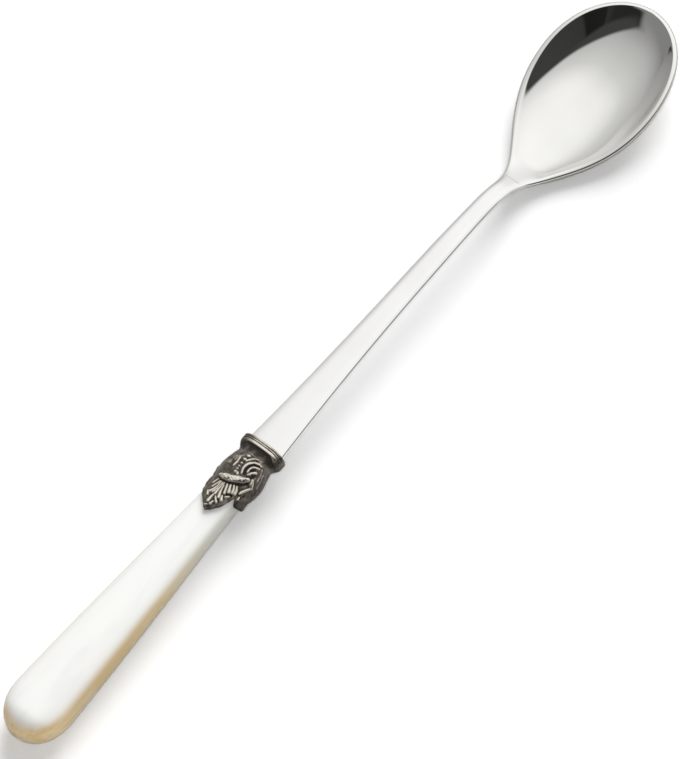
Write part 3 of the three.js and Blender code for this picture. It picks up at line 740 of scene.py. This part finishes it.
# ferrule: collar, throat, bulb and leaves with their relief, in grip axis millimetres
castFerrule = {
    "face": 80.6,
    "collarBack": 77.9,
    "throatBack": 76.9,
    "leafRoot": 68.9,
    "collar": (10.5, 7.4),
    "collarRound": 0.32,
    "grooveWidth": 0.24,
    "grooveDepth": 0.14,
    # groove section: offset and depth as shares, and shine
    "grooveSection": ((0.5, 0, 0.78), (0.2, 0.7, 0.6), (0, 1, 0.44), (-0.2, 0.7, 0.62), (-0.5, 0, 0.82)),
    "grooves": (0.34, 0.58),  # shares of the collar's depth
    "throat": (8.4, 5.9),
    "bulb": (9.95, 7.54),
    # shares of the bulb's length at its crown and of its fall, in plan and from the side
    "bulbCrown": (0.35, 0.45),
    "bulbFall": ((0.72, 0.4), (0.78, 0.3)),
    "sideShare": 0.55,  # leaves are thinner at the sides than over the faces
    "fitGap": 0.3,
    "leafWall": 0.55,
    "boreEnd": 74.9,
    "seat": (8.9, 2.7),
    "seatDepth": 1.9,
    "boreShares": (0.3, 0.65, 1.0),
    "boreGap": 0.5,  # share of the fit gap
    "around": 336,
    "bulbRows": 90,
    "leafRows": 84,
    "faceRows": 7,
    "backRows": 8,
    "coveRows": 11,
    "sharpAngle": 60,
    "collarHollow": 0.95,
    "hollowTurn": (math.radians(72), math.radians(30)),
    "earRound": 1.2,
    "backRound": 0.6,  # shares of the collar's and the ears' rounding at the back edge
    "backEar": 0.7,
    "coveRange": (0.95, 0.08),
    "covePower": 0.5,
    # leaf edge over each face: distance sideways over the skin, x
    "edge": ((-7.4, 68.4), (-7.0, 68.1), (-6.5, 67.3), (-6.0, 67.0), (-5.6, 67.6), (-5.1, 68.3), (-4.7, 67.4),
             (-4.3, 66.0), (-3.9, 65.0), (-3.2, 64.2), (-2.5, 63.5), (-1.6, 62.7), (-0.7, 61.7), (0.0, 61.2),
             (0.9, 62.0), (1.7, 63.0), (2.3, 64.0), (2.7, 65.0), (3.0, 65.7), (3.2, 66.6), (3.45, 67.2),
             (3.7, 66.6), (4.1, 66.05), (4.6, 65.75), (5.2, 65.75), (5.8, 66.05), (6.3, 66.5), (6.7, 67.0),
             (7.4, 67.2)),
    "edgeMiddle": 66.0,
    "edgeRipple": (0.06, 5.2),
    "dropFrom": (3.45, 67.2),
    # ornament: strokes of x, sideways, radius
    "beads": (((76.2, -0.5, 0.48),), ((75.0, -0.52, 0.42),), ((73.9, -0.45, 0.33),), ((73.05, -0.42, 0.32),),
              ((72.35, -0.36, 0.32),), ((71.6, -0.3, 0.38),), ((71.75, 0.25, 0.26), (71.35, 0.42, 0.34))),
    "arches": (((74.9, 0.0, 0.22), (75.6, 0.3, 0.34), (76.4, 0.85, 0.34), (76.75, 1.6, 0.22)),
               ((72.1, 1.0, 0.3), (72.6, 0.72, 0.36), (73.4, 0.5, 0.36), (74.2, 0.55, 0.36),
                (75.0, 0.9, 0.38), (75.65, 1.5, 0.38), (76.0, 2.3, 0.38), (75.95, 3.0, 0.25)),
               ((73.0, 1.75, 0.25), (74.0, 1.65, 0.34), (74.65, 1.9, 0.42), (75.0, 2.4, 0.34),
                (75.15, 2.85, 0.42)),
               ((72.6, 2.2, 0.28), (73.3, 2.55, 0.38), (74.0, 3.2, 0.34)),
               ((74.9, -1.65, 0.18), (73.7, -1.4, 0.32), (72.5, -1.5, 0.24))),
    "bands": (((77.0, -1.2, 0.2), (77.05, 0.8, 0.34), (77.0, 2.6, 0.2)),
              ((72.9, -3.0, 0.5), (73.3, -2.9, 0.4)), ((74.5, -2.5, 0.4), (74.1, -2.6, 0.45)),
              ((76.0, -1.2, 0.2), (74.9, -1.95, 0.26), (73.6, -2.15, 0.2)),
              ((76.7, 1.0, 0.12), (76.55, 2.2, 0.22), (76.1, 3.6, 0.14)),
              ((75.6, 3.6, 0.12), (74.4, 4.3, 0.22), (73.0, 4.6, 0.16)),
              ((75.0, 4.6, 0.12), (73.4, 5.3, 0.22), (71.9, 5.6, 0.16))),
    "swag": (((69.4, -2.4, 0.4), (69.55, -1.3, 0.72), (69.95, 0.0, 0.8), (70.4, 1.0, 0.8), (71.0, 2.0, 0.7),
              (71.8, 2.9, 0.45)),),
    "ribbon": (((72.4, 3.6, 0.28), (71.6, 4.05, 0.5), (70.9, 4.55, 0.36)),
               ((70.9, 4.55, 0.26), (69.9, 4.0, 0.3), (68.8, 3.45, 0.32), (68.4, 3.35, 0.22))),
    "lobes": (((68.3, -2.0, 0.18), (67.0, -2.45, 0.24)),
              ((68.1, -1.35, 0.16), (67.2, -1.6, 0.24), (66.2, -1.95, 0.28)),
              ((68.2, -1.15, 0.16), (67.0, -1.08, 0.2), (66.0, -1.3, 0.28), (65.0, -1.7, 0.34)),
              ((68.2, -0.72, 0.14), (66.6, -0.76, 0.2), (65.2, -1.05, 0.26)),
              ((68.3, -0.35, 0.16), (67.0, -0.4, 0.22), (65.8, -0.45, 0.34), (65.2, -0.4, 0.34)),
              ((67.7, -0.08, 0.18), (66.8, 0.05, 0.24), (66.0, 0.25, 0.32), (65.0, 0.65, 0.42)),
              ((68.4, 0.25, 0.24), (67.5, 0.58, 0.3), (66.4, 1.0, 0.34)),
              ((68.7, 0.85, 0.26), (67.8, 1.25, 0.36), (67.15, 1.55, 0.42)),
              ((69.0, 1.45, 0.26), (68.2, 1.95, 0.32), (67.5, 2.2, 0.34)),
              ((69.2, 2.05, 0.26), (68.4, 2.55, 0.36), (67.7, 2.7, 0.36)),
              ((65.7, 1.05, 0.24), (64.8, 1.5, 0.4)),
              ((66.5, 2.2, 0.24), (65.9, 1.75, 0.3)),
              ((64.9, -0.55, 0.24), (64.0, -0.58, 0.36), (63.1, -0.55, 0.42)),
              ((64.8, 0.05, 0.22), (64.3, 0.45, 0.3), (63.85, 0.98, 0.34)),
              ((63.6, 0.35, 0.26), (62.8, 0.22, 0.34)),
              ((62.35, -0.2, 0.2), (62.05, -0.5, 0.26)),
              ((65.0, -2.1, 0.2), (64.2, -1.6, 0.3)),
              # painted highlight: this small raised stroke is rubbed bright to stand for the crescent of
              # light on the drop
              ((67.9, 3.85, 0.18), (67.3, 4.0, 0.24))),
    "drops": (((69.4, 5.7, 0.7), (68.0, 5.5, 1.1), (66.8, 5.2, 1.0)), ((69.8, 6.5, 0.7), (70.9, 6.6, 0.7))),
    "cuts": (((68.35, -1.9, 0.28), (68.5, -0.9, 0.34), (68.9, 0.3, 0.34), (69.4, 1.4, 0.34),
              (70.1, 2.5, 0.36), (71.0, 3.3, 0.3)),
             ((73.0, 3.25, 0.55), (72.7, 3.3, 0.4)),
             ((72.3, 1.4, 0.26), (73.3, 1.12, 0.3), (74.3, 1.25, 0.28), (75.2, 1.85, 0.28),
              (75.55, 2.7, 0.26)),
             ((73.6, 2.1, 0.22), (74.4, 2.6, 0.24)),
             ((66.9, 2.4, 0.3), (66.6, 1.6, 0.24)),
             ((68.8, 4.6, 0.24), (67.5, 4.3, 0.26), (66.5, 4.4, 0.22))),
    # relief of each kind of stroke
    "relief": {"beads": 0.46, "arches": 0.3, "bands": 0.17, "swag": 0.55, "ribbon": 0.42, "lobes": 0.42},
    "dropRelief": 0.36,
    "swell": 1.2,
    "ridgePower": 0.75,
    "cutDepth": 0.26,
    "cutBelow": 0.28,
    # uneven casting: height, then the rates along and across of the sine waves that make it
    "unevenness": ((0.03, ((3.1, 1.3), (-0.9, 2.3))),),
    "stipple": ((0.1, ((4.3, 7.1), (6.3, -3.2))), (0.1, ((-3.9, 4.7),))),
    # shine of the plain rows, 0 in the patina and 1 rubbed bright; the low shine on the collar's sides is
    # partly painted shade
    "seatShine": (0.1, 0.3),
    "sideShadedShine": 0.3,
    "faceShine": (0.55, 0.25),
    "backShine": (0.15, 1.0, 0.8),
    "coveShine": (0.34, 0.12),
    "turnedShine": ((0.3, 0.3), (0.75, 0.12), (1.0, 0.05)),  # share of the wall turned in, shine
    "boreShine": 0.05,
    "poleShine": (0.1, 0.05),
    # turn from the middle of a face where the collar starts to shine, at the near and the far side; the
    # darker sides are patina in part and painted shade in part, reaching further in on the far side
    "nearShadeTurn": (math.radians(62), math.radians(44)),
    "farShadeTurn": (math.radians(-62), math.radians(-10)),
    # wear of the ornament by its height, by its rise over what is round it and by the height round it
    "patina": 0.35,
    "wear": (0.9, 1.5, 0.45),
    "wearReach": 5,
    "overTurn": (math.radians(80), math.radians(48)),
    "overWear": 0.8,
    # painted shade: the leaves' edge is darkened on the near side alone
    "rimShade": 0.4,
    "rimRange": (0.1, 0.7),
    "rimSide": (-0.3, 0.6),
    "farFromRim": 9.0,
    "dropWear": 0.3,
}


def leafHalf(x, extra):
    wide, high = gripHalf(x)
    return wide + extra * castFerrule["sideShare"], high + extra


def ferruleHalf(x):
    # half width and half height of the bulb
    f = castFerrule
    root = leafHalf(f["leafRoot"], f["fitGap"] + f["leafWall"])
    halves = []
    sides = zip(root, f["bulb"], f["throat"], f["bulbCrown"], f["bulbFall"])
    for rootHalf, bulb, throat, crown, (fallAt, fall) in sides:
        curve = fairCurve([
            (f["leafRoot"], rootHalf),
            (mix(f["leafRoot"], f["throatBack"], crown), bulb / 2),
            (mix(f["leafRoot"], f["throatBack"], fallAt), mix(bulb, throat, fall) / 2),
            (f["throatBack"], throat / 2),
        ])
        halves.append(curve(x))
    return halves


def fromFace(angle):
    # turn away from the middle of the nearer face, top or underside, growing towards the near side
    return np.where(angle < math.pi, angle - math.pi / 2, 1.5 * math.pi - angle)


def leafEdge(angle):
    # x of the leaves' edge at each angle
    f = castFerrule
    middle = np.full(len(angle), f["edgeMiddle"])
    points = roundedSection(middle, *leafHalf(middle, f["fitGap"] + f["leafWall"]), angle)
    s = alongSkin(points[None])[0]
    height, rate = f["edgeRipple"]
    edge = np.interp(s, *zip(*f["edge"])) + height * np.sin(rate * s)
    # the drop hangs on the upper half alone
    dropSide, dropX = f["dropFrom"]
    plain = (angle > math.pi) & (s > dropSide)
    return np.where(plain, np.maximum(edge, dropX), edge)


def alongSkin(points):
    # distance over the skin from the middle of the nearer face
    count = points.shape[1]
    step = np.linalg.norm((points - np.roll(points, 1, axis=1))[..., 1:], axis=-1)
    run = np.cumsum(step, axis=1)
    index = np.arange(count)
    middle = np.where(index < count // 2, count // 4, 3 * count // 4)
    return (run - np.take(run, middle, axis=1)) * np.where(index < count // 2, 1, -1)


def strokeHeight(x, s, points):
    # rounded ridge along a polyline whose radius changes from point to point; 1 on its crest
    best = np.zeros_like(x)
    for (x0, s0, r0), (x1, s1, r1) in zip(points, points[1:] or points):
        length = (x1 - x0) ** 2 + (s1 - s0) ** 2 + tiny
        t = np.clip(((x - x0) * (x1 - x0) + (s - s0) * (s1 - s0)) / length, 0, 1)
        gap = np.hypot(x - mix(x0, x1, t), s - mix(s0, s1, t)) / (mix(r0, r1, t) * castFerrule["swell"])
        best = np.maximum(best, np.clip(1 - gap * gap, 0, 1) ** castFerrule["ridgePower"])
    return best


def ripple(x, s, waves):
    total = 0
    for height, rates in waves:
        total = total + height * np.prod([np.sin(along * x + across * s) for along, across in rates], axis=0)
    return total


def reliefHeight(x, s):
    # raised ornament over the skin, and the smooth drops at the sides; s runs sideways from a face's middle
    f = castFerrule
    height = ripple(x, s, f["unevenness"])
    stipple = 1 + ripple(x, s, f["stipple"])
    for kind, relief in f["relief"].items():
        for points in f[kind]:
            ridge = relief * strokeHeight(x, s, points)
            height = np.maximum(height, ridge * stipple if kind == "swag" else ridge)
    smooth = np.zeros_like(x)
    for points in f["drops"]:
        smooth = np.maximum(smooth, f["dropRelief"] * strokeHeight(x, np.abs(s), points))
    deep = np.zeros_like(x)
    for points in f["cuts"]:
        deep = np.maximum(deep, strokeHeight(x, s, points))
    return np.maximum(height, smooth) - f["cutDepth"] * deep * (height < f["cutBelow"]), smooth


def blurRows(values, reach):
    # mean of the points round each one
    total = np.zeros_like(values)
    for step in range(-reach, reach + 1):
        total += np.roll(values, step, axis=1)
    values = total / (2 * reach + 1)
    padded = np.pad(values, ((reach, reach), (0, 0)), mode="edge")
    return sum(padded[i:i + len(values)] for i in range(2 * reach + 1)) / (2 * reach + 1)


def collarRows(angle):
    # rows with their shine, from the stem's seat over the grooved collar and down the cove to the bulb
    f = castFerrule
    turn = fromFace(angle)
    middle = ease(*f["hollowTurn"], np.abs(turn))
    # painted shade in part: the collar dims towards its sides, from further in on the far side than on the
    # near one
    facing = ease(*f["nearShadeTurn"], turn) * ease(*f["farShadeTurn"], turn)
    back = f["collarBack"] + f["collarHollow"] * middle  # hollowed over the middle of each face
    r = f["collarRound"]
    rows = []
    for x, shine in zip((f["face"] - f["seatDepth"], f["face"]), f["seatShine"]):
        rows.append((boxSection(x, *f["seat"], angle), shine))

    def addRow(share, lift, inset, shine, ear=1.0):
        # share runs from the face to the back edge
        x = mix(f["face"], back, share) + lift
        row = roundedSection(x, f["collar"][0] / 2 - inset * ear, f["collar"][1] / 2 - inset, angle)
        rows.append((row, mix(f["sideShadedShine"], shine, facing)))

    low, rise = f["faceShine"]
    for a in np.linspace(0, math.pi / 2, f["faceRows"]):
        shine = low + rise * math.sin(a)
        addRow(0, -r * (1 - math.cos(a)), r * (1 - math.sin(a)), shine, f["earRound"] / r)
    for share in f["grooves"]:
        for offset, depth, shine in f["grooveSection"]:
            addRow(share, offset * f["grooveWidth"], depth * f["grooveDepth"], shine)
    low, high, power = f["backShine"]
    reach = mix(f["earRound"], f["backRound"] * r, middle)
    for a in np.linspace(math.pi / 2, 0, f["backRows"]):
        shine = mix(low, high, math.sin(a) ** power)
        addRow(1, reach * (1 - math.cos(a)), r * (1 - math.sin(a)), shine, f["backEar"] * f["earRound"] / r)
    for share in np.linspace(*f["coveRange"], f["coveRows"]):
        cove = (1 - share) ** f["covePower"]
        x = mix(f["throatBack"], back, share)
        wide = mix(f["collar"][0] / 2 - r, f["throat"][0] / 2, cove)
        high = mix(f["collar"][1] / 2 - r, f["throat"][1] / 2, cove)
        rows.append((roundedSection(x, wide, high, angle), mix(*f["coveShine"], share)))
    return rows


def skinWearAndShade(height, smooth, s, rim, turn):
    # relief is rubbed bright while recesses keep their patina and the sides are worn less; the darkening
    # along the leaves' edge on the near side is painted shade
    f = castFerrule
    around = blurRows(height, f["wearReach"])
    byHeight, byRise, byRound = f["wear"]
    wornAndShaded = f["patina"] + byHeight * np.maximum(height, 0) + byRise * (height - around)
    wornAndShaded = wornAndShaded + byRound * np.maximum(around, 0)
    wornAndShaded = np.clip(wornAndShaded, 0, 1) * mix(f["overWear"], 1, ease(*f["overTurn"], np.abs(turn)))
    wornAndShaded = wornAndShaded * mix(1, mix(f["rimShade"], 1, ease(*f["rimRange"], rim)), ease(*f["rimSide"], s))
    return np.where(smooth > 0, np.minimum(wornAndShaded, f["dropWear"]), wornAndShaded)


def skinRows(angle, leafEnd):
    # rows of bulb and leaves with their relief, and how far each point is rubbed bright
    f = castFerrule
    skin = []
    for share in np.linspace(1, 0, f["bulbRows"]):
        x = np.full(len(angle), mix(f["leafRoot"], f["throatBack"], share))
        skin.append((x, *ferruleHalf(x)))
    for share in np.linspace(0, 1, f["leafRows"])[1:]:
        x = mix(f["leafRoot"], leafEnd, share)
        skin.append((x, *leafHalf(x, f["fitGap"] + f["leafWall"])))
    x, wide, high = (np.array(part) for part in zip(*skin))
    points = roundedSection(x, wide, high, angle)
    s = alongSkin(points)
    height, smooth = reliefHeight(x, s)
    out = np.stack([0 * x, points[..., 1] / wide ** 2, points[..., 2] / high ** 2], -1)
    out /= np.linalg.norm(out, axis=-1, keepdims=True)
    rim = np.where(np.arange(len(x))[:, None] < f["bulbRows"], f["farFromRim"], x - leafEnd)
    wornAndShaded = skinWearAndShade(height, smooth, s, rim, fromFace(angle))
    return list(zip(points + out * height[..., None], wornAndShaded))


def boreRows(angle, leafEnd):
    # leaf edges turned in, then the bore up to its end
    f = castFerrule
    rows = []
    for share, shine in f["turnedShine"]:
        extra = f["fitGap"] + f["leafWall"] * (1 - share)
        rows.append((roundedSection(leafEnd, *leafHalf(leafEnd, extra), angle), shine))
    for share in f["boreShares"]:
        x = mix(leafEnd, f["boreEnd"], share)
        half = leafHalf(x, f["fitGap"] * f["boreGap"])
        rows.append((roundedSection(x, *half, angle), f["boreShine"]))
    return rows


def makeFerrule():
    f = castFerrule
    angle = evenAngles(f["around"], *f["bulb"])
    leafEnd = leafEdge(angle)
    rows, shines = zip(*(collarRows(angle) + skinRows(angle, leafEnd) + boreRows(angle, leafEnd)))
    piece = loftPiece("castFerrule", fromGrip(rows), antiquedPewter, "ferrule",
                      f["sharpAngle"], inward=True)
    wearAndShade = [np.broadcast_to(shine, len(angle)) for shine in shines]
    values = np.concatenate(wearAndShade + [f["poleShine"]])
    piece.data.attributes.new("wearAndShade", "FLOAT", "POINT").data.foreach_set("value", values.astype(np.float32))


makeFerrule()

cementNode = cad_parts["tang_cement"]
cementNode.data.materials.clear()
cementNode.data.materials.append(makeCement())
print("pieces made")

# white table
tableTop = {
    "size": 8.0,
    "drop": 0.00002,
    "tone": (0.93, 0.93, 0.93, 1),
    "toneLow": (0.90, 0.90, 0.90, 1),
    # seen in the polish, the table is in shade under the bowl and the handle
    "toneMirrored": (0.53, 0.52, 0.487, 1),
    "stemMiddle": 0.014,
    "stemReach": (0.03, 0.052),
    # beyond the lamps' reach the card stays white to the camera
    "glowReach": (0.35, 1.4),
    "grainScale": 3.0,
    "rough": 0.9,
    "gloss": 0.1,
}


def makeTable():
    half = tableTop["size"] / 2
    mesh = bpy.data.meshes.new("tableTop")
    corners = [(x * half, y * half, -tableTop["drop"]) for x, y in ((-1, -1), (1, -1), (1, 1), (-1, 1))]
    mesh.from_pydata(corners, [], [(0, 1, 2, 3)])
    table = addObject("tableTop", mesh)
    material, tree, shader, position = startMaterial("whiteCard")
    grain = addNode(tree, "ShaderNodeTexNoise", {
        "Vector": position, "Scale": tableTop["grainScale"]}).outputs[0]
    tone = blendColour(tree, grain, tableTop["tone"], tableTop["toneLow"])
    ray = addNode(tree, "ShaderNodeLightPath").outputs
    along = addNode(tree, "ShaderNodeSeparateXYZ", {"Vector": position}).outputs["X"]
    away = calc(tree, "ABSOLUTE", calc(tree, "SUBTRACT", along, tableTop["stemMiddle"]))
    shaded = calc(tree, "MULTIPLY", ray["Is Glossy Ray"], remap(tree, away, *tableTop["stemReach"]))
    gone = addNode(tree, "ShaderNodeVectorMath", {"Vector": position}, operation="LENGTH").outputs["Value"]
    glow = calc(tree, "MULTIPLY", ray["Is Camera Ray"], remap(tree, gone, *tableTop["glowReach"]))
    fill(tree, shader, {
        "Base Color": blendColour(tree, shaded, tone, tableTop["toneMirrored"]),
        "Roughness": tableTop["rough"],
        "Specular IOR Level": tableTop["gloss"],
        "Emission Color": (1, 1, 1, 1),
        "Emission Strength": glow,
    })
    mesh.materials.append(material)


makeTable()

# studio: a bright tent whose two edges open on the dark room at the near side
studio = {
    "tentEdges": (((0.649, 0.400, 0.648), 0.13), ((0.106, 0.684, 0.722), -0.006)),
    "tentSoft": (-0.065, 0.015),
    "tentRound": 0.3,
    "sillAxis": (-0.048, -0.328, 0.944),
    "sillEdge": (0.53, 0.60),
    "roomAxis": (-0.664, -0.748, 0.0),
    "acrossAxis": (0.748, -0.664, 0.0),
    # tones round the room, in degrees from straight ahead
    "roomTones": ((-180, 0.017), (-12, 0.02), (-5, 0.03), (-1, 0.03), (0, 0.014), (21, 0.012),
                  (23, 0.037), (60, 0.048)),
    "roomTop": (0.64, 0.72, 0.05),
    "keyAxis": (0.682, 0.061, 0.729),
    # tones by the cosine from the key light
    "keyTones": ((-1, 0.22), (0, 0.23), (0.15, 0.36), (0.3, 0.47), (0.5, 0.57), (0.65, 0.66),
                 (0.85, 0.94), (0.93, 1.0), (1, 1.03)),
    # what the mirror shows is brighter than what lights the table
    "mirrored": 1.27,
    "spread": 0.3,
    # lamps: place, width and power
    "softLight": ((3.15, 0.97, 2.26), 3.3, 192.0),
    "fillLight": ((-0.4, -0.45, 1.13), 0.2, 7.5),
}


def makeStudio():
    scene = bpy.context.scene
    scene.view_settings.view_transform = "Standard"
    world = bpy.data.worlds.new("studio")
    scene.world = world
    world.use_nodes = True
    tree = world.node_tree
    way = addNode(tree, "ShaderNodeTexCoord").outputs["Generated"]

    def towards(axis):
        # cosine of the turn from an axis
        node = addNode(tree, "ShaderNodeVectorMath", {0: way, 1: axis}, operation="DOT_PRODUCT")
        return node.outputs["Value"]

    def toneRamp(value, low, high, tones):
        share = remap(tree, value, low, high, 0, 1, "LINEAR")
        node = addNode(tree, "ShaderNodeValToRGB", {0: share})
        stops = node.color_ramp.elements
        for i, (place, tone) in enumerate(tones):
            at = (place - low) / (high - low)
            stop = stops[i] if i < 2 else stops.new(at)  # a new ramp has two stops
            stop.position = at
            stop.color = (tone, tone, tone, 1)
        return node.outputs[0]

    key = toneRamp(towards(studio["keyAxis"]), -1, 1, studio["keyTones"])
    sides = [calc(tree, "SUBTRACT", edge, towards(axis)) for axis, edge in studio["tentEdges"]]
    beyond = calc(tree, "SMOOTH_MAX", *sides, studio["tentRound"])
    outside = remap(tree, beyond, *studio["tentSoft"])
    dark = calc(tree, "MULTIPLY", outside, remap(tree, towards(studio["sillAxis"]), *studio["sillEdge"]))
    ahead = calc(tree, "ARCTAN2", towards(studio["acrossAxis"]), towards(studio["roomAxis"]))
    room = toneRamp(calc(tree, "DEGREES", ahead), -180, 180, studio["roomTones"])
    low, high, lighter = studio["roomTop"]
    room = blendColour(tree, remap(tree, towards((0, 0, 1)), low, high), room, (lighter, lighter, lighter, 1))
    tone = blendColour(tree, dark, key, room)
    ray = addNode(tree, "ShaderNodeLightPath").outputs
    fill(tree, tree.nodes["Background"], {
        "Color": blendColour(tree, ray["Is Camera Ray"], tone, (1, 1, 1, 1)),
        "Strength": remap(tree, ray["Is Diffuse Ray"], 0, 1, studio["mirrored"], studio["spread"], "LINEAR"),
    })
    for name in ("softLight", "fillLight"):
        place, size, power = studio[name]
        data = bpy.data.lights.new(name, "AREA")
        data.shape = "DISK"
        data.size = size
        data.energy = power
        lamp = addObject(name, data)
        lamp.location = place
        lamp.rotation_mode = "QUATERNION"
        lamp.rotation_quaternion = Vector(place).to_track_quat("Z", "Y")
        lamp.visible_glossy = False
        lamp.visible_camera = False


makeStudio()

# camera: long lens, looking down at the spoon from the butt's right-hand side
viewpoint = {
    "elevation": math.radians(62),
    "spoonTurn": math.radians(41.59),
    "roll": math.radians(-10),
    "distance": 1.5,
    "pixelsPerMetre": 4795.8,
    "originPixel": (344.13, 380.71),
    "imageSize": (680, 759),
    "sensorWidth": 36.0,
    "clip": (0.1, 20),
}


def makeCamera():
    v = viewpoint
    level = Vector((math.sin(v["spoonTurn"]), math.cos(v["spoonTurn"]), 0))
    right = Vector((math.cos(v["spoonTurn"]), -math.sin(v["spoonTurn"]), 0))
    ahead = level * math.cos(v["elevation"]) - Vector((0, 0, math.sin(v["elevation"])))
    above = level * math.sin(v["elevation"]) + Vector((0, 0, math.cos(v["elevation"])))
    c, s = math.cos(v["roll"]), math.sin(v["roll"])
    right, above = right * c + above * s, above * c - right * s
    data = bpy.data.cameras.new("viewpoint")
    longSide = max(v["imageSize"])
    data.sensor_width = v["sensorWidth"]
    data.lens = data.sensor_width * v["pixelsPerMetre"] * v["distance"] / longSide
    data.shift_x = (v["imageSize"][0] / 2 - v["originPixel"][0]) / longSide
    data.shift_y = (v["originPixel"][1] - v["imageSize"][1] / 2) / longSide
    data.clip_start, data.clip_end = v["clip"]
    eye = addObject("viewpoint", data)
    turned = Matrix((right, above, -ahead)).transposed().to_4x4()
    eye.matrix_world = Matrix.Translation(-ahead * v["distance"]) @ turned
    bpy.context.scene.camera = eye


makeCamera()
print("table, studio and camera made")
